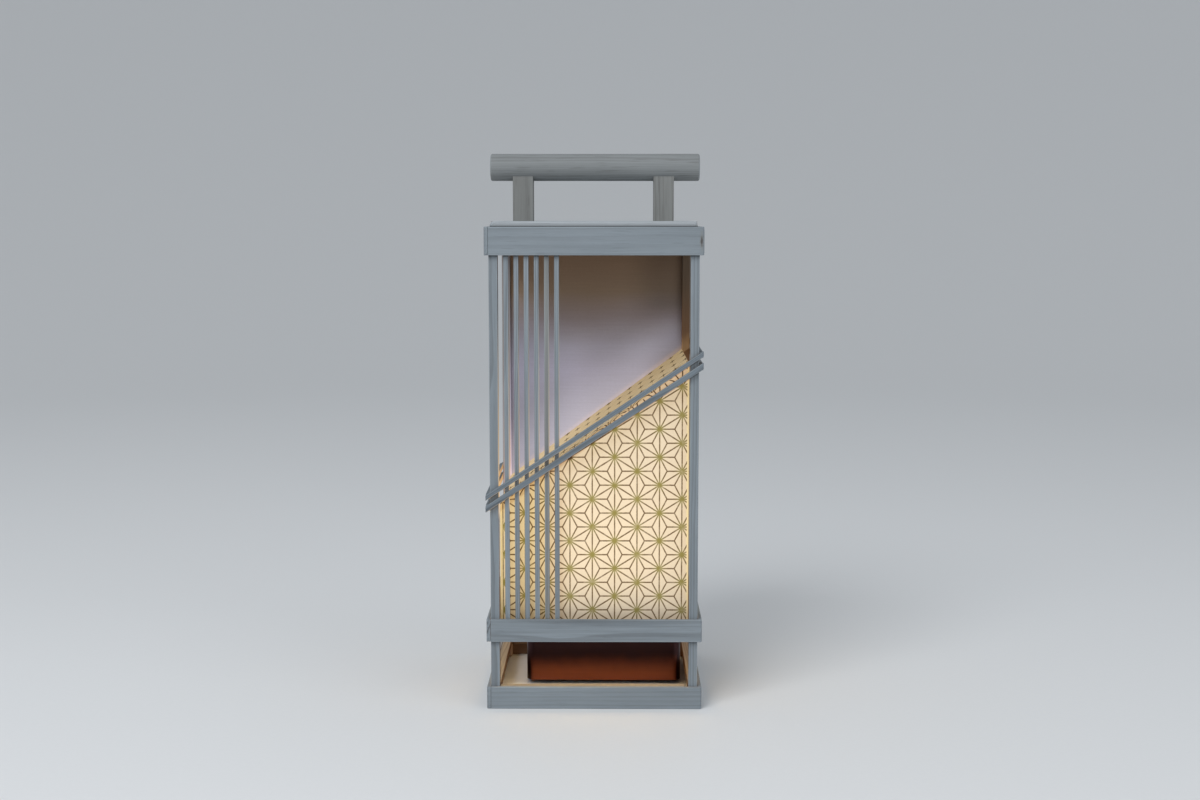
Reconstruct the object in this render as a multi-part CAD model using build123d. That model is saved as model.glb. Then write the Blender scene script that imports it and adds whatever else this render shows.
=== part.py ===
from build123d import *
import math
import os

# Andon lantern: a square frame of thin sticks wrapped by three bands of board, a paper
# shade with a slanting top inside it, a round carrying handle, and a separate battery
# light unit that stands under the shade.
# Millimetres. +Z is up, the front faces -Y, and the origin is the middle of the base.

# ---- Frame ---------------------------------------------------------------------------
frame_width = 148.0         # over the four posts, in X and in Y
post_side = 6.4             # square section of posts and rails
band_thickness = 3.0        # boards that wrap the posts
base_band_height = 16.0
mid_band_bottom = 49.0
mid_band_height = 16.4
top_band_bottom = 324.5
top_band_height = 20.0
band_corner_round = 1.2     # the outer upright corner of each band
stick_round = 0.4           # eased edges of boards and sticks
ledge_lip = 2.0             # how far the middle ledges reach in under the shade wall
rail_shortfall = 2.5        # the front base rail stops this far short of the right post

# ---- Slats and sash ------------------------------------------------------------------
slat_count = 6
slat_side = 3.5             # square section
slat_pitch = 7.1
first_slat_inset = 12.2     # from the left side of the frame to the first slat's middle
sash_thickness = 3.0
upper_sash_width = 3.4
upper_sash_low = 155.0      # height of its middle line at the left side of the frame
upper_sash_high = 253.6     # and at the right side
lower_sash_width = 4.0
lower_sash_low = 146.9
lower_sash_high = 245.2

# ---- Paper ---------------------------------------------------------------------------
paper_thickness = 0.8       # paper laid on a stiff backing
shade_gap = 0.5             # between the shade and the posts' inner faces
shade_low = 148.0           # height of the shade's slanting top at the left
shade_high = 248.4          # and at the right
panel_thickness = 2.0       # white board behind the shade
panel_gap = 0.4             # between the board and each back post

# ---- Lid and handle ------------------------------------------------------------------
lid_thickness = 6.0
lid_proud = 3.7             # how far the lid stands above the top band
lid_gap = 1.0               # between the lid and the top band, all round
lid_corner_radius = 3.0
handle_diameter = 20.0
handle_overhang = 3.0       # past the frame at each end
handle_rise = 39.4          # from the lid's top to the handle's axis
handle_post_side = 15.0
left_post_inset = 21.0      # from the frame's side to the middle of the handle's left post
right_post_inset = 23.5     # and of its right post
handle_end_round = 1.0
peg_diameter = 6.0          # wooden pegs between handle posts and handle
peg_length = 16.0
screw_diameter = 3.5        # wood screws up through the lid into the handle posts
screw_length = 24.0
screw_head_diameter = 7.0
screw_point_radius = 0.2
brad_diameter = 1.4         # brads down through the lid's corners into the posts
brad_length = 22.0
brad_head_diameter = 2.8
brad_head_thickness = 0.6
fastener_clearance = 0.05   # radial, in every hole that holds a peg, screw or brad

# ---- Light unit ----------------------------------------------------------------------
unit_width = 116.0
unit_depth = 70.0
unit_height = 58.0          # the metal case, without its feet
unit_right_share = 0.9      # of the room beside it, how far it stands to the right
unit_back_share = 0.78      # and of the room before it, how far to the back
case_wall = 1.2
case_corner_radius = 6.0
case_edge_round = 1.0
case_pillar_diameter = 6.0
case_pillar_inset = 9.0     # from the case's sides to the middle of a pillar
unit_base_thickness = 2.5
unit_base_gap = 0.3         # between the base plate and the case wall
foot_diameter = 12.0
foot_height = 3.0
foot_inset = 20.0
foot_edge = 0.5             # chamfer round the foot's sole
case_screw_diameter = 2.5
case_screw_length = 10.0
case_screw_head_diameter = 5.0
case_screw_head_height = 1.5

cell_diameter = 18.4        # two 18650 cells side by side
cell_length = 65.0
cell_gap = 1.2
cell_nub_diameter = 5.5
cell_nub_height = 1.0
cell_edge_round = 0.6
cradle_clearance = 0.3
cradle_rib_thickness = 2.0
cradle_rib_height = 8.0

board_width = 86.0
board_depth = 60.0
board_thickness = 1.6
board_height = 46.0         # underside of the control board above the floor
board_wall_gap = 0.8        # from the board to the case's back wall
standoff_diameter = 5.0
standoff_inset = 5.0
stake_diameter = 2.4
stake_clearance = 0.15
stake_height = 2.6

switch_side = 6.0
switch_height = 3.5
button_diameter = 12.0
button_clearance = 0.05     # radial, in the case's top
button_proud = 1.5
button_travel = 1.0
button_edge_round = 0.6
button_flange = 1.2         # the collar under the case's top is this much larger in radius
button_flange_thickness = 1.0
button_stem_diameter = 4.0
button_slack = 0.05         # left over at each end of the button's travel
button_inset_x = 19.5       # from the case's left side
button_inset_y = 24.0       # from the case's front

socket_width = 9.0
socket_height = 3.2
socket_depth = 8.0
socket_gap = 0.3
socket_mouth_wall = 0.4
socket_mouth_depth = 5.0

led_board_diameter = 50.0
led_board_thickness = 1.6
led_count = 6
led_side = 3.5
led_height = 0.8
led_ring_radius = 15.0
diffuser_diameter = 60.0
diffuser_height = 10.0
diffuser_wall = 1.5
diffuser_round = 6.0

# ---- Derived -------------------------------------------------------------------------
half_frame = frame_width / 2
inner_half = half_frame - post_side
ledge_top = mid_band_bottom + post_side
top_band_top = top_band_bottom + top_band_height
lid_top = top_band_top + lid_proud
post_top = lid_top - lid_thickness
top_rail_bottom = post_top - post_side
handle_z = lid_top + handle_rise
handle_radius = handle_diameter / 2
shade_half = inner_half - shade_gap
shade_slope = (shade_high - shade_low) / (2 * inner_half)
ledge_inner = shade_half - ledge_lip
handle_length = frame_width + 2 * handle_overhang

unit_x = unit_right_share * (ledge_inner - unit_width / 2)
unit_y = unit_back_share * (ledge_inner - unit_depth / 2)
unit_bottom = foot_height
case_top = unit_bottom + unit_height
unit_base_top = unit_bottom + unit_base_thickness
cell_axis_z = unit_base_top + cradle_clearance + cell_diameter / 2
board_top = board_height + board_thickness
board_y = unit_depth / 2 - case_wall - board_wall_gap - board_depth / 2
button_x = button_inset_x - unit_width / 2
button_y = button_inset_y - unit_depth / 2
switch_top = board_top + switch_height

SIDES = ("front", "right", "back", "left")   # each a quarter turn on from the last


# ---- Shape helpers -------------------------------------------------------------------
def block(low, high):
    """A box between two corners."""
    size = [b - a for a, b in zip(low, high)]
    middle = [(a + b) / 2 for a, b in zip(low, high)]
    return Pos(*middle) * Box(*size)


def rod(diameter, bottom, top, x=0.0, y=0.0):
    """An upright cylinder."""
    return Pos(x, y, (bottom + top) / 2) * Cylinder(diameter / 2, top - bottom)


def eased(solid, radius, wall):
    """The solid with every edge rounded, by no more than a third of its thinnest wall."""
    return fillet(solid.edges(), min(radius, wall / 3))


def on_side(side, shape):
    """A shape drawn at the front, turned to another side of the lantern."""
    return Rot(0, 0, 90 * SIDES.index(side)) * shape


def countersunk_screw(diameter, length, head_diameter, spread=0.0):
    """Head down at z = 0 and pointed up; spread grows it into its own hole."""
    head_height = (head_diameter - diameter) / 2
    shank = rod(diameter + 2 * spread, 0, length - diameter)
    point = Cone(diameter / 2 + spread, screw_point_radius + spread, diameter)
    head = Cone(head_diameter / 2 + spread, diameter / 2 + spread, head_height)
    return shank + Pos(0, 0, length - diameter / 2) * point + Pos(0, 0, head_height / 2) * head


def brad(spread=0.0):
    """Head up at z = 0 and pointed down; spread grows it into its own hole."""
    head = rod(brad_head_diameter + 2 * spread, -brad_head_thickness, 0)
    shank = rod(brad_diameter + 2 * spread, -brad_length, -brad_head_thickness)
    return head + shank


def corners(half_x, half_y):
    """The four places at plus and minus these distances."""
    return [(sx * half_x, sy * half_y) for sx in (-1, 1) for sy in (-1, 1)]


# ---- Frame ---------------------------------------------------------------------------
def post(sx, sy):
    """One corner post, drilled from above for its brad."""
    middle = half_frame - post_side / 2
    shape = Pos(sx * middle, sy * middle, post_top / 2) * Box(post_side, post_side, post_top)
    shape = eased(shape, stick_round, post_side)
    return shape - Pos(sx * middle, sy * middle, lid_top) * brad(fastener_clearance)


def band_board(bottom, height):
    """The front board of a band: it covers the right board's end and meets the left one."""
    outer = half_frame + band_thickness
    board = block((-half_frame, -outer, bottom), (outer, -half_frame, bottom + height))
    corner = [e for e in board.edges().filter_by(Axis.Z)
              if e.center().X > half_frame and e.center().Y < -half_frame]
    board = fillet(corner, min(band_corner_round, band_thickness * 0.8))
    sharp = [e for e in board.edges() if e.geom_type == GeomType.LINE and not is_upright(e)]
    return chamfer(sharp, min(stick_round, band_thickness / 3))


def is_upright(edge):
    return abs((edge @ 1 - edge @ 0).Z) > 0.5 * edge.length


def rail(bottom, right_end=None):
    """A square rail between the two front posts."""
    end = inner_half if right_end is None else right_end
    shape = block((-inner_half, -half_frame, bottom), (end, -inner_half, bottom + post_side))
    return eased(shape, stick_round, post_side)


def ledge(side):
    """A middle rail, deep enough to carry the shade; the side ones fit between the others."""
    reach = inner_half if side in ("front", "back") else ledge_inner
    shape = block((-reach, -half_frame, mid_band_bottom), (reach, -ledge_inner, ledge_top))
    return on_side(side, eased(shape, stick_round, post_side))


def slat(index):
    x = first_slat_inset + index * slat_pitch - half_frame
    shape = block((x - slat_side / 2, -half_frame, ledge_top),
                  (x + slat_side / 2, slat_side - half_frame, top_rail_bottom))
    return eased(shape, stick_round, slat_side)


def sash_slope(low, high):
    return (high - low) / frame_width


def sash_climb(width, low, high):
    """Half the upright height of a sloping strip of this width."""
    return width / 2 / math.cos(math.atan(sash_slope(low, high)))


def sash_front(width, low, high):
    """A strip that climbs across the front, cut upright at the outer faces of the side strips."""
    half = sash_climb(width, low, high)
    outer = half_frame + sash_thickness
    past = sash_thickness * sash_slope(low, high)
    outline = Polyline(
        (-outer, low - past - half), (outer, high + past - half),
        (outer, high + past + half), (-outer, low - past + half), close=True)
    strip = extrude(Plane.XZ.offset(half_frame) * make_face(outline), sash_thickness)
    return chamfer(strip.edges().filter_by(is_across, reverse=True), min(stick_round, width / 4))


def is_across(edge):
    """True for edges along Y, which butt against other pieces."""
    return abs((edge @ 1 - edge @ 0).Y) > 0.5 * edge.length


def sash_side(width, low, high, sign):
    """A level strip along one side, between the ends of the front and back strips."""
    half = sash_climb(width, low, high)
    outer = half_frame + sash_thickness
    middle = (low + high) / 2 + sign * (half_frame + sash_thickness / 2) * sash_slope(low, high)
    shape = block((half_frame, -half_frame, middle - half), (outer, half_frame, middle + half))
    shape = eased(shape, stick_round, sash_thickness)
    return shape if sign > 0 else mirror(shape, Plane.YZ)


# ---- Paper ---------------------------------------------------------------------------
def shade_body(inset, bottom):
    """A box with a slanting top; inset makes it smaller on every face but the bottom."""
    half = shade_half - inset
    drop = inset * math.hypot(1, shade_slope)
    top_left = shade_low + (inner_half - half) * shade_slope - drop
    top_right = shade_high - (inner_half - half) * shade_slope - drop
    outline = Polyline((-half, bottom), (half, bottom), (half, top_right), (-half, top_left), close=True)
    return extrude(Plane.XZ * make_face(outline), half, both=True)


def paper_shade():
    """Folded from one printed sheet: four walls and the slanting top, open below."""
    return shade_body(0, ledge_top) - shade_body(paper_thickness, ledge_top - paper_thickness)


def back_panel():
    half = inner_half - panel_gap
    return block((-half, half_frame - panel_thickness, ledge_top), (half, half_frame, top_rail_bottom))


# ---- Lid and handle ------------------------------------------------------------------
def handle_places():
    return (left_post_inset - half_frame, half_frame - right_post_inset)


def lid():
    side = frame_width - 2 * lid_gap
    outline = Plane.XY.offset(post_top) * RectangleRounded(side, side, lid_corner_radius)
    sheet = extrude(outline, lid_thickness)
    sheet = chamfer(sheet.faces().sort_by(Axis.Z)[-1].edges(), min(stick_round, lid_thickness / 3))
    for x in handle_places():
        sheet -= Pos(x, 0, post_top) * lid_screw(fastener_clearance)
    for x, y in corners(half_frame - post_side / 2, half_frame - post_side / 2):
        sheet -= Pos(x, y, lid_top) * brad(fastener_clearance)
    return sheet


def lid_screw(spread=0.0):
    return countersunk_screw(screw_diameter, screw_length, screw_head_diameter, spread)


def handle_peg(spread=0.0):
    """Upright peg, half in the post and half in the handle, where the two touch."""
    seam = handle_z - handle_radius
    return rod(peg_diameter + 2 * spread, seam - peg_length / 2 - spread, seam + peg_length / 2 + spread)


def handle_bar(spread=0.0):
    bar = Pos(0, 0, handle_z) * Rot(0, 90, 0) * Cylinder(handle_radius + spread, handle_length)
    if spread:
        return bar
    bar = fillet(bar.edges().filter_by(GeomType.CIRCLE), handle_end_round)
    for x in handle_places():
        bar -= Pos(x, 0, 0) * handle_peg(fastener_clearance)
    return bar


def handle_post(x):
    """Stands on the lid and is hollowed at its top to cradle the handle."""
    half = handle_post_side / 2
    shape = block((x - half, -half, lid_top), (x + half, half, handle_z))
    shape = fillet(shape.edges().filter_by(Axis.Z), stick_round)
    shape -= handle_bar(fastener_clearance)
    shape -= Pos(x, 0, 0) * handle_peg(fastener_clearance)
    return shape - Pos(x, 0, post_top) * lid_screw(fastener_clearance)


# ---- Light unit, drawn about its own middle and then set in place ----------------------
def place_unit(shape):
    return Pos(unit_x, unit_y, 0) * shape


def rounded_slab(width, depth, radius, bottom, height):
    return extrude(Plane.XY.offset(bottom) * RectangleRounded(width, depth, radius), height)


def pillar_places():
    return corners(unit_width / 2 - case_pillar_inset, unit_depth / 2 - case_pillar_inset)


def light_case():
    """Drawn metal cover, open below, with four pillars that take the base screws."""
    shape = rounded_slab(unit_width, unit_depth, case_corner_radius, unit_bottom, unit_height)
    shape = fillet(shape.faces().sort_by(Axis.Z)[-1].edges(), case_edge_round)
    shape -= rounded_slab(unit_width - 2 * case_wall, unit_depth - 2 * case_wall,
                          case_corner_radius - case_wall, unit_bottom, unit_height - case_wall)
    for x, y in pillar_places():
        shape += rod(case_pillar_diameter, unit_base_top, case_top - case_wall / 2, x, y)
        hole_top = unit_bottom + case_screw_length + case_screw_diameter
        shape -= rod(case_screw_diameter + 2 * fastener_clearance, unit_base_top, hole_top, x, y)
    hole_diameter = button_diameter + 2 * button_clearance
    shape -= rod(hole_diameter, board_top, case_top + button_proud, button_x, button_y)
    return shape - charge_socket_block(socket_gap)


def light_base():
    """Plastic base plate with cradle ribs for the cells and staked posts for the board."""
    gap = case_wall + unit_base_gap
    plate = rounded_slab(unit_width - 2 * gap, unit_depth - 2 * gap, case_corner_radius - gap,
                         unit_bottom, unit_base_thickness)
    for x, y in pillar_places():
        plate -= rod(case_screw_diameter + 2 * fastener_clearance, 0, unit_base_top, x, y)
        plate -= rod(case_screw_head_diameter + 2 * fastener_clearance, 0,
                     unit_bottom + case_screw_head_height, x, y)
    rib_half = cell_diameter + cell_gap
    for sx in (-1, 1):
        x = sx * cell_length / 3
        rib = block((x - cradle_rib_thickness / 2, -rib_half, unit_base_top),
                    (x + cradle_rib_thickness / 2, rib_half, unit_base_top + cradle_rib_height))
        for y in cell_places():
            rib -= cell_tube(y, cell_diameter + 2 * cradle_clearance, cell_length)
        plate += rib
    for x, y in standoff_places():
        plate += rod(standoff_diameter, unit_base_top, board_height, x, y)
        plate += rod(stake_diameter, board_height, board_height + stake_height, x, y)
    return plate


def cell_places():
    offset = (cell_diameter + cell_gap) / 2
    return (-offset, offset)


def cell_tube(y, diameter, length):
    return Pos(0, y, cell_axis_z) * Rot(0, 90, 0) * Cylinder(diameter / 2, length)


def battery_cell(y):
    body = cell_tube(y, cell_diameter, cell_length)
    nub_x = (cell_length + cell_nub_height) / 2
    nub = Pos(nub_x, 0, 0) * cell_tube(y, cell_nub_diameter, cell_nub_height)
    return fillet(body.edges().filter_by(GeomType.CIRCLE), cell_edge_round) + nub


def standoff_places():
    return [(x, y + board_y) for x, y in
            corners(board_width / 2 - standoff_inset, board_depth / 2 - standoff_inset)]


def control_board():
    """Circuit board with its push switch, staked on the base plate's posts."""
    board = block((-board_width / 2, board_y - board_depth / 2, board_height),
                  (board_width / 2, board_y + board_depth / 2, board_top))
    for x, y in standoff_places():
        board -= rod(stake_diameter + 2 * stake_clearance, board_height, board_top, x, y)
    switch = Box(switch_side, switch_side, switch_height)
    return board + Pos(button_x, button_y, board_top + switch_height / 2) * switch


def charge_socket_block(spread=0.0):
    back = unit_depth / 2
    half = socket_width / 2 + spread
    front = back - socket_depth
    top = board_top + socket_height
    return block((-half, front - spread, board_top - spread), (half, back + spread, top + spread))


def charge_socket():
    """Charging inlet on the board, flush with the case's back."""
    half = socket_width / 2 - socket_mouth_wall
    back = unit_depth / 2
    mouth = block((-half, back - socket_mouth_depth, board_top + socket_mouth_wall),
                  (half, back, board_top + socket_height - socket_mouth_wall))
    return charge_socket_block() - mouth


def power_button():
    """Round cap through the case's top, with a collar that keeps it in."""
    collar_top = case_top - case_wall - button_slack
    collar_bottom = collar_top - button_flange_thickness
    cap = rod(button_diameter, collar_bottom, case_top + button_proud, button_x, button_y)
    cap = fillet(cap.faces().sort_by(Axis.Z)[-1].edges(), button_edge_round)
    collar = rod(button_diameter + 2 * button_flange, collar_bottom, collar_top, button_x, button_y)
    stem_bottom = switch_top + button_travel + button_slack
    return cap + collar + rod(button_stem_diameter, stem_bottom, collar_bottom, button_x, button_y)


def led_board():
    board = rod(led_board_diameter, case_top, case_top + led_board_thickness)
    for index in range(led_count):
        turn = Rot(0, 0, 360 / led_count * index)
        chip = Pos(led_ring_radius, 0, case_top + led_board_thickness + led_height / 2)
        board += turn * chip * Box(led_side, led_side, led_height)
    return board


def diffuser():
    """Shallow milky dome over the LED board."""
    outer = rod(diffuser_diameter, case_top, case_top + diffuser_height)
    outer = fillet(outer.faces().sort_by(Axis.Z)[-1].edges(), diffuser_round)
    inner_top = case_top + diffuser_height - diffuser_wall
    inner = rod(diffuser_diameter - 2 * diffuser_wall, case_top, inner_top)
    inner = fillet(inner.faces().sort_by(Axis.Z)[-1].edges(), diffuser_round - diffuser_wall)
    return outer - inner


def case_screw():
    head_top = unit_bottom + case_screw_head_height
    head = rod(case_screw_head_diameter, unit_bottom, head_top)
    return head + rod(case_screw_diameter, head_top, unit_bottom + case_screw_length)


def rubber_foot():
    foot = rod(foot_diameter, 0, foot_height)
    return chamfer(foot.faces().sort_by(Axis.Z)[0].edges(), foot_edge)


# ---- The whole lantern -----------------------------------------------------------------
def frame_pieces():
    pieces = {}
    for name, sx, sy in (("front_left", -1, -1), ("front_right", 1, -1),
                         ("back_left", -1, 1), ("back_right", 1, 1)):
        pieces["post_" + name] = post(sx, sy)
    for level, bottom, height in (("base", 0, base_band_height),
                                  ("mid", mid_band_bottom, mid_band_height),
                                  ("top", top_band_bottom, top_band_height)):
        for side in SIDES:
            pieces[f"{level}_band_{side}"] = on_side(side, band_board(bottom, height))
    for side in SIDES:
        end = inner_half - rail_shortfall if side == "front" else inner_half
        pieces["base_rail_" + side] = on_side(side, rail(base_band_height - post_side, end))
        pieces["shade_ledge_" + side] = ledge(side)
    for side in ("front", "back"):
        pieces["top_rail_" + side] = on_side(side, rail(top_rail_bottom))
    for index in range(slat_count):
        pieces[f"slat_{index + 1}"] = slat(index)
    return pieces


def sash_pieces():
    pieces = {}
    for name, width, low, high in (("upper", upper_sash_width, upper_sash_low, upper_sash_high),
                                   ("lower", lower_sash_width, lower_sash_low, lower_sash_high)):
        front = sash_front(width, low, high)
        pieces[f"sash_{name}_front"] = front
        pieces[f"sash_{name}_back"] = mirror(front, Plane.XZ)
        pieces[f"sash_{name}_left"] = sash_side(width, low, high, -1)
        pieces[f"sash_{name}_right"] = sash_side(width, low, high, 1)
    return pieces


def top_pieces():
    left, right = handle_places()
    brad_places = corners(half_frame - post_side / 2, half_frame - post_side / 2)
    return {
        "paper_shade": paper_shade(),
        "back_panel": back_panel(),
        "lid": lid(),
        "handle_post_left": handle_post(left),
        "handle_post_right": handle_post(right),
        "handle_bar": handle_bar(),
        "handle_pegs": [Pos(x, 0, 0) * handle_peg() for x in handle_places()],
        "handle_screws": [Pos(x, 0, post_top) * lid_screw() for x in handle_places()],
        "lid_brads": [Pos(x, y, lid_top) * brad() for x, y in brad_places],
    }


def light_unit_pieces():
    front_cell, back_cell = cell_places()
    foot_places = corners(unit_width / 2 - foot_inset, unit_depth / 2 - foot_inset)
    pieces = {
        "light_case": light_case(),
        "light_base": light_base(),
        "battery_cell_front": battery_cell(front_cell),
        "battery_cell_back": battery_cell(back_cell),
        "control_board": control_board(),
        "charge_socket": charge_socket(),
        "power_button": power_button(),
        "led_board": led_board(),
        "diffuser": diffuser(),
        "case_screws": [Pos(x, y, 0) * case_screw() for x, y in pillar_places()],
        "rubber_feet": [Pos(x, y, 0) * rubber_foot() for x, y in foot_places],
    }
    placed = {}
    for name, shape in pieces.items():
        placed[name] = [place_unit(s) for s in shape] if isinstance(shape, list) else place_unit(shape)
    return placed


def write(name, shape):
    solids = shape if isinstance(shape, list) else [shape]
    export_step(Compound(children=solids) if len(solids) > 1 else solids[0], f"parts/{name}.step")


os.makedirs("parts", exist_ok=True)
for pieces in (frame_pieces(), sash_pieces(), top_pieces(), light_unit_pieces()):
    for name, shape in pieces.items():
        write(name, shape)
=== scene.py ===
"""Looks of the andon lantern: worn pale wood, hemp-leaf printed paper with its glow, and the
copper-coloured light unit. Metres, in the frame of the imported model."""
import math

import bmesh
import bpy
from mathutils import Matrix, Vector, noise


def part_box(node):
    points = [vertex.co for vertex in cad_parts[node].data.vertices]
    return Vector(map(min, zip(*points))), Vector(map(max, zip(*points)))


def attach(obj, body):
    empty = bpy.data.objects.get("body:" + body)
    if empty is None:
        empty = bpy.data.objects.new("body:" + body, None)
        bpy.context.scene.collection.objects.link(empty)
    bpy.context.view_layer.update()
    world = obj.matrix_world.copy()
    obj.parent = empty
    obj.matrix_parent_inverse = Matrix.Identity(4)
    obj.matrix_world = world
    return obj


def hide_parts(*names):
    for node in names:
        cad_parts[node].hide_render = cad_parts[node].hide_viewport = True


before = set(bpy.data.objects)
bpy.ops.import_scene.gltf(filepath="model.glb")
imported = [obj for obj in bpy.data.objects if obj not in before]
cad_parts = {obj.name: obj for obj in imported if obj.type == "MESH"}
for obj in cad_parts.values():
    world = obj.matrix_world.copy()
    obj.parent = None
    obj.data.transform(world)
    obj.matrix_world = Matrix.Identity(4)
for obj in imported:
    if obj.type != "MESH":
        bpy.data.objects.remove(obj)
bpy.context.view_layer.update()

mm = 0.001
WHITE = (1.0, 1.0, 1.0)
BLACK = (0.0, 0.0, 0.0)

# ---- View ----
CAMERA_PLACE = (13.4 * mm, -1242.4 * mm, 350.6 * mm)
CAMERA_PITCH = 6.238  # degrees below level
CAMERA_YAW = 0.452  # degrees to the left
CAMERA_LENS = 50.0
CAMERA_SENSOR = 36.0

# ---- Wood: its shape ----
EASE = 0.4 * mm  # rounding of a stick's edges
EDGE_BAND = 0.5 * mm  # how far the wear of an edge reaches over the flat
SURFACE_WAVE = 0.12 * mm  # how far a planed face wanders, always inwards
STATION_STEP = 4 * mm  # between the outlines along a stick
SHARP_ANGLE = 38  # degrees between two faces, from which their edge stays sharp
CORNER_PLAN_ROUND = 1.2 * mm  # outer upright corner of a band, seen from above
CORNER_WORN_ROUND = 0.9 * mm  # its top and bottom, seen from the front
KNOT_CORNER_ROUND = 1.9 * mm  # the same on the top front band, by its knot
LID_LEFT_ROUND = 3.4 * mm
LID_RIGHT_LEAN = 1.2 * mm
LID_CORNER_ROUND = 1.6 * mm
BAR_END_ROUND = 1.3 * mm
BAR_SIDES = 48

# ---- Wood: its look ----
WOOD_LIGHT = (0.226, 0.257, 0.281)
WOOD_DARK = (0.096, 0.101, 0.106)
WOOD_WORN = (0.310, 0.348, 0.372)
WOOD_SHADED = (0.080, 0.045, 0.021)  # painted shade: colour of faces turned inwards, which only the lamp warms
SHADED_RANGE = (0.15, 0.65, 0.0, 0.88)  # how far turned from, to; share of the painted shade there
PAINT_WHITE = 0.72
YEAR = ((0.0, 0.0), (0.45, 0.12), (0.80, 0.85), (0.92, 1.0), (1.0, 0.0))  # how dark, across a ring
PITH_AWAY = 150 * mm  # from a piece's middle to the pith that its rings go round
PITH_SPREAD = 25 * mm
RING_SWAY = 10 * mm  # how far the rings wander slowly
RING_FINE_SWAY = 1.3 * mm  # and quickly
POST_TONES_AND_SHADE = {"front": (0.98, 0.0), "back": (0.76, 0.20)}  # how light and how warm; the back posts are darker and warmer partly as wood varies, partly as painted shade and lamp warmth
BAND_GRAIN = (("base", 3.2, 0.6), ("mid", 2.3, 1.9), ("top", 5.5, 0.34))  # ring width in mm, contrast
DARKER_SLAT = 5
KNOT_PLACE = Vector((75.1, -77, 334)) * mm
KNOT_SIZE = Vector((1.7, 3, 8)) * mm
KNOT_HALO = (0.21, 0.20, 0.18)
KNOT_HEART = (0.062, 0.050, 0.045)
LAMPLIGHT = (1.30, 0.676, 0.273)  # what the shade's light adds to wood beside it
LAMPLIGHT_FADE = 60 * mm  # how far above the slanting top it still shows
LAMPLIGHT_BELOW = 0.35  # what is left of it under the shade
LAMPLIGHT_EDGE = (-6 * mm, 2 * mm)  # heights from the shade's lower edge between which it goes
TOP_LIGHT = (0.50, 0.33, 0.155)  # what the slanting top adds beside it
TOP_LIGHT_FADE = 150 * mm
TOP_LIGHT_START = (-12 * mm, -4 * mm)  # heights from the slanting top between which it begins
TOP_LIGHT_INWARDS = 0.3  # its share on faces that look inwards, but not right
TOP_LIGHT_RIGHT = 0.12  # what is left of it at the shade's right
TOP_LIGHT_BACK = 0.55  # and at the back
TOP_LIGHT_CLOSE = (12 * mm, 0.24)  # reach and share close above the top
# painted shade of faces turned inwards, and the slanting top's painted light on them
INNER_SHADE_AND_LIGHT = (WOOD_SHADED, TOP_LIGHT)
BOARD_SIDE_SHADE_AND_LIGHT = ((0.29, 0.26, 0.26), (0.56, 0.54, 0.72))  # painted shade and painted light of the same, by the white board's left edge
CONTACT_SHADE = 0.35  # painted shadow: what is left of a colour right under a band or a sash strip
CONTACT_REACH = 1.6 * mm
LID_JOINT_SHADE = (0.3 * mm, 0.9 * mm, 0.22)  # painted shadow over the lid's joint: heights from, to, share left there

# ---- Paper: its shape ----
PAPER_SHEET = 0.45 * mm
PAPER_SWELL = 0.3 * mm  # how far the damp sheet stands out towards the posts
FOLD_RADIUS = 0.6 * mm
ROOF_ROUND = 3.5 * mm  # of the front and back walls into the slanting top
ROOF_CUTS = 4
PAPER_GRID = 6 * mm
PAPER_COCKLE = 0.35 * mm
COCKLE_REACH = 12 * mm  # from a fold to where the paper wanders fully

# ---- Paper: its print ----
STAR_PITCH = 20.15 * mm  # from star to star up a column of the hemp-leaf print
COLUMN_PITCH = 16.0 * mm
STAR_U = -1.4 * mm  # one star's place on the front
STAR_V = 130.8 * mm
TOP_STAR_DEPTH = 13.5 * mm  # one star's place on the top, from the front fold
TOP_STAR_CLIMB = 166.5 * mm  # and up the slope from its low end
LINE_WIDTH = 0.95 * mm
LINE_SOFTNESS = 0.2 * mm
LINE_WANDER = 0.35 * mm
LINE_INK = (0.19, 0.135, 0.075)
HEART_INK = (0.36, 0.36, 0.15)
HEART_REACH = (1.2 * mm, 7.5 * mm)  # where a star's own colour fades
TOP_HEART_INK = (0.090, 0.062, 0.014)
TOP_DOT_REACH = (1.4 * mm, 2.8 * mm)  # the same for the dark dots of the stars on the top
TOP_DOT_DEPTH = 0.35
TOP_INK_FADE = 75 * mm  # how far back on the top the print's fine lines still show
MARGIN_LEFT = 1.5 * mm  # unprinted edges of each wall
MARGIN_RIGHT = 1.0 * mm
WALL_BASE = (0.36, 0.335, 0.29)
# the top's paper is darker and warmer than the walls': painted shade
TOP_BASE = (0.31, 0.27, 0.20)
LINING_BASE = (0.80, 0.77, 0.70)

# ---- Paper: its glow ----
WALL_GLOW_STRENGTH = 0.66
TOP_GLOW_STRENGTH = 0.40
LINING_GLOW_STRENGTH = 0.5
CAVITY_SHARE = 0.62  # how much of the light is reflected inside the shade first
CAVITY_RISE = 12 * mm  # height over which that light builds up
CAVITY_FLOOR = 0.42  # what is left of it at the lamp's own height
DIRECT_EVENED = 0.3
GLOW = (1.0, 0.735, 0.415)
RIM_GLOW = (1.22, 0.92, 0.40)  # at the upright folds, where the light leaks round
RIM_REACH = 1.7 * mm
SLAT_GLOW = (1.10, 0.81, 0.375)  # on the front wall behind the slats
SLAT_GLOW_REACH = (-42 * mm, -24 * mm)
TOP_GLOW = (1.0, 0.715, 0.345)
TOP_FRONT_GLOW = (8 * mm, 1.25)  # how far back the top is brighter, and how bright at its front
SASH_SHADE = (0.50, 0.25, 0.07)  # painted shadow on the paper, right under a sash strip
SASH_SHADE_REACH = (1.0 * mm, 2.3 * mm)
FOLD_SHADE = (0.80, 0.72, 0.64)  # painted shade along the fold between the front wall and the top
# painted shade on the ink along that fold
FOLD_SHADE_INK = (0.10, 0.055, 0.022)
FOLD_SHADE_REACH = (5 * mm, 8 * mm)

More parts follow.
